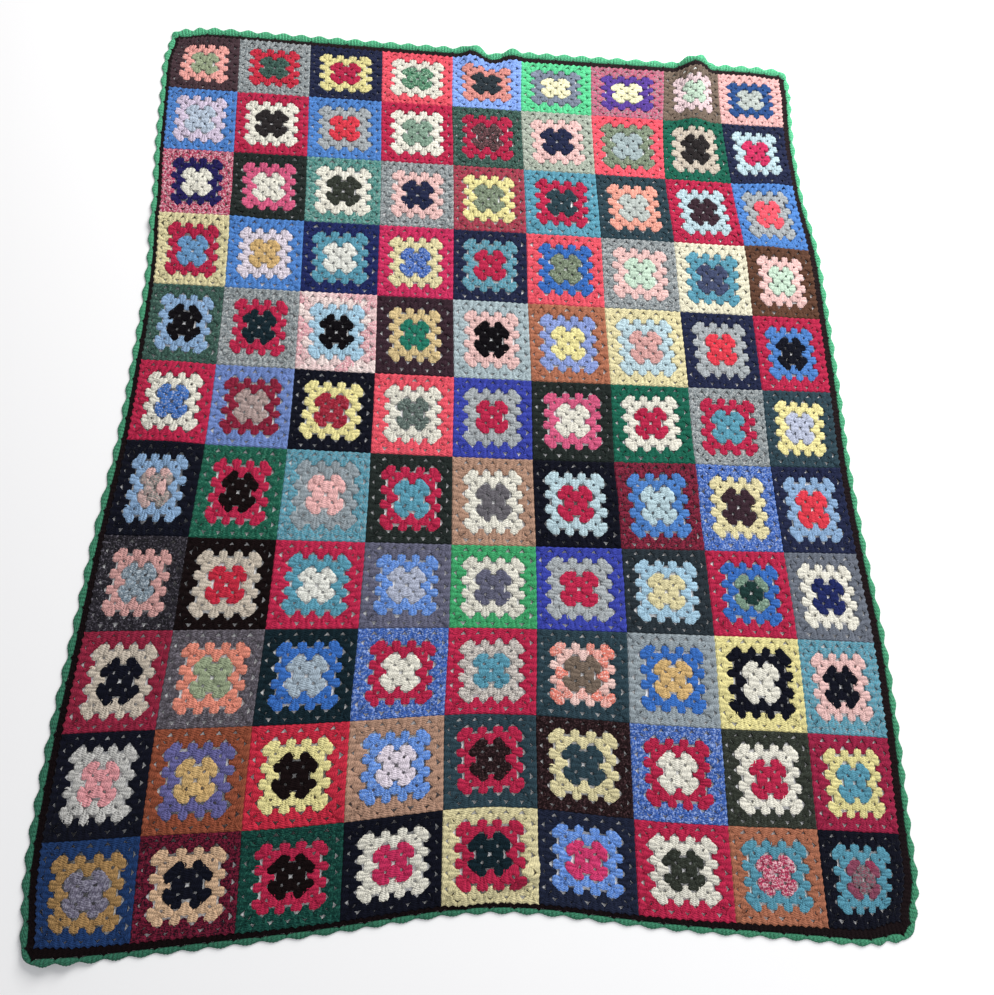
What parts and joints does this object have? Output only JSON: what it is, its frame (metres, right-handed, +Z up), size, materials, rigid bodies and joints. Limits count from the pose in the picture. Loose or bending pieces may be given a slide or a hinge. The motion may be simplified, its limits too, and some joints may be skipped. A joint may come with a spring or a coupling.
{
  "type": "granny square blanket",
  "caption": "Crocheted patchwork blanket of joined multicoloured granny squares, spread flat, with a dark border band and a green scalloped shell edging.",
  "frame": {"origin": "middle of the blanket's outline, on the surface it lies on", "axes": "+X across the nine columns of squares, +Y along the eleven rows towards the edge with the pleat, +Z up, out of the blanket's face"},
  "size_m": [1.2902, 1.6198, 0.0261],
  "materials": {
    "square_yarn": "soft matte crocheted yarn in many colours",
    "dark_yarn": "soft matte crocheted yarn, nearly black",
    "green_yarn": "soft matte crocheted yarn, emerald green"
  },
  "bodies": {
    "root": {"granny_square_field": "square_yarn", "dark_border": "dark_yarn", "shell_edging": "green_yarn"}
  },
  "joints": []
}
